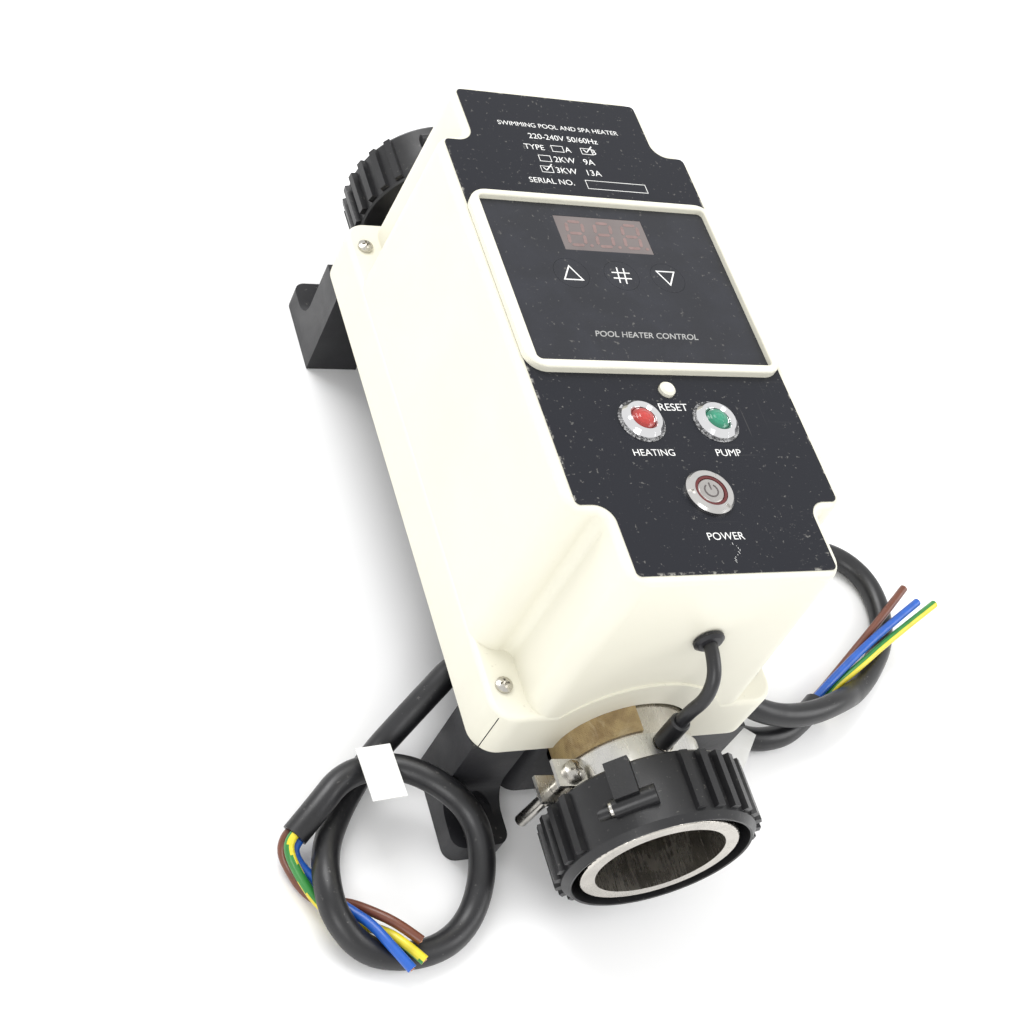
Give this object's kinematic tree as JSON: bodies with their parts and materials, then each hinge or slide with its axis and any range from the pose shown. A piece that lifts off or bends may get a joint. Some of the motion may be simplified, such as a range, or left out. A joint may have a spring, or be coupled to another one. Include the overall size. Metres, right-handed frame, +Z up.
{
  "type": "electric pool heater",
  "caption": "In-line electric pool and spa heater: cream housing on black feet, steel flow tube with split union nuts, control panel, pilot lights and two free power cords.",
  "frame": {"origin": "under the middle of the housing, on the ground plane of the feet", "axes": "+Z up out of the control panel, +Y along the flow tube towards the top of the label, +X across the panel to the right"},
  "size_m": [0.3248, 0.3454, 0.1525],
  "materials": {
    "cream_plastic": "moulded ABS, fine satin",
    "black_plastic": "moulded, satin",
    "nut_plastic": "glass-filled, satin",
    "bright_steel": "bright plated steel",
    "chrome_trim": "polished chrome",
    "black_label": "printed film, satin gloss",
    "cream_rubber": "moulded, satin",
    "smoked_window": "smoked acrylic",
    "green_board": "solder-resist laminate",
    "galvanised_steel": "zinc plated sheet",
    "grey_plastic": "moulded",
    "red_lens": "coloured lens",
    "green_lens": "coloured lens",
    "clear_film": "thin clear film",
    "switch_light": "unlit red light guide",
    "stainless_tube": "brushed stainless",
    "element_alloy": "drawn alloy sheath",
    "brass_nut": "machined",
    "tan_wrap": "resin-soaked glass cloth",
    "cord_rubber": "smooth rubber",
    "core_brown": "PVC insulation",
    "core_blue": "PVC insulation",
    "core_earth": "PVC insulation, green stripe",
    "tag_paper": "white paper flag"
  },
  "bodies": {
    "housing": {"cover": "cream_plastic", "base_shell": "black_plastic", "cover_screws": "bright_steel", "front_label": "black_label", "control_gasket": "cream_rubber", "control_panel": "black_label", "display_window": "smoked_window", "display_module": "black_plastic", "key_switches": "black_plastic", "control_board": "green_board", "board_posts": "cream_plastic", "inner_chassis": "galvanised_steel", "terminal_block": "grey_plastic", "heater_relay": "black_plastic", "pump_relay": "black_plastic", "overheat_cutout": "bright_steel", "reset_thermostat": "grey_plastic", "reset_bracket": "galvanised_steel", "heat_light_housing": "chrome_trim", "heat_light_lens": "red_lens", "pump_light_housing": "chrome_trim", "pump_light_lens": "green_lens", "pilot_washers": "clear_film", "pilot_nuts": "black_plastic", "switch_housing": "bright_steel", "switch_ring": "switch_light", "switch_nut": "black_plastic", "vessel": "stainless_tube", "heating_element": "element_alloy", "element_nuts": "brass_nut", "insulation_wrap": "tan_wrap", "clamp_strap": "stainless_tube", "clamp_bolt": "bright_steel", "clamp_nut": "bright_steel", "sensor_sleeve": "cord_rubber", "sensor_grommet": "cord_rubber", "sensor_lead": "cord_rubber", "supply_gland": "black_plastic", "pump_gland": "black_plastic", "supply_cord": "cord_rubber", "pump_cord": "cord_rubber", "supply_core_brown": "core_brown", "supply_core_earth": "core_earth", "supply_core_blue": "core_blue", "pump_core_brown": "core_brown", "pump_core_earth": "core_earth", "pump_core_blue": "core_blue", "supply_tag": "tag_paper", "pump_tag": "tag_paper"},
    "key_up_body": {"key_up": "black_label"},
    "key_set_body": {"key_set": "black_label"},
    "key_down_body": {"key_down": "black_label"},
    "reset_body": {"reset_button": "cream_plastic"},
    "power_body": {"switch_cap": "bright_steel"},
    "front_nut": {"front_nut_left": "nut_plastic", "front_nut_right": "nut_plastic", "front_nut_screws": "bright_steel"},
    "rear_nut": {"rear_nut_left": "nut_plastic", "rear_nut_right": "nut_plastic", "rear_nut_screws": "bright_steel"}
  },
  "joints": [
    {"name": "key_up_press", "type": "slide", "parent": "housing", "child": "key_up_body", "axis": [0, 0, -1], "range_m": [0, 0.0004], "stiffness_N_per_m": 900, "springref_m": -0.0002},
    {"name": "key_set_press", "type": "slide", "parent": "housing", "child": "key_set_body", "axis": [0, 0, -1], "range_m": [0, 0.0004], "stiffness_N_per_m": 900, "springref_m": -0.0002},
    {"name": "key_down_press", "type": "slide", "parent": "housing", "child": "key_down_body", "axis": [0, 0, -1], "range_m": [0, 0.0004], "stiffness_N_per_m": 900, "springref_m": -0.0002},
    {"name": "reset_press", "type": "slide", "parent": "housing", "child": "reset_body", "axis": [0, 0, -1], "range_m": [0, 0.0015], "stiffness_N_per_m": 700, "springref_m": -0.00075},
    {"name": "power_press", "type": "slide", "parent": "housing", "child": "power_body", "axis": [0, 0, -1], "range_m": [0, 0.0013], "stiffness_N_per_m": 800, "springref_m": -0.00065},
    {"name": "front_nut_spin", "type": "hinge", "parent": "housing", "child": "front_nut", "pos_m": [0, -0.153, 0.0477], "axis": [0, 1, 0], "continuous": true},
    {"name": "rear_nut_spin", "type": "hinge", "parent": "housing", "child": "rear_nut", "pos_m": [0, 0.153, 0.0477], "axis": [0, 1, 0], "continuous": true}
  ]
}
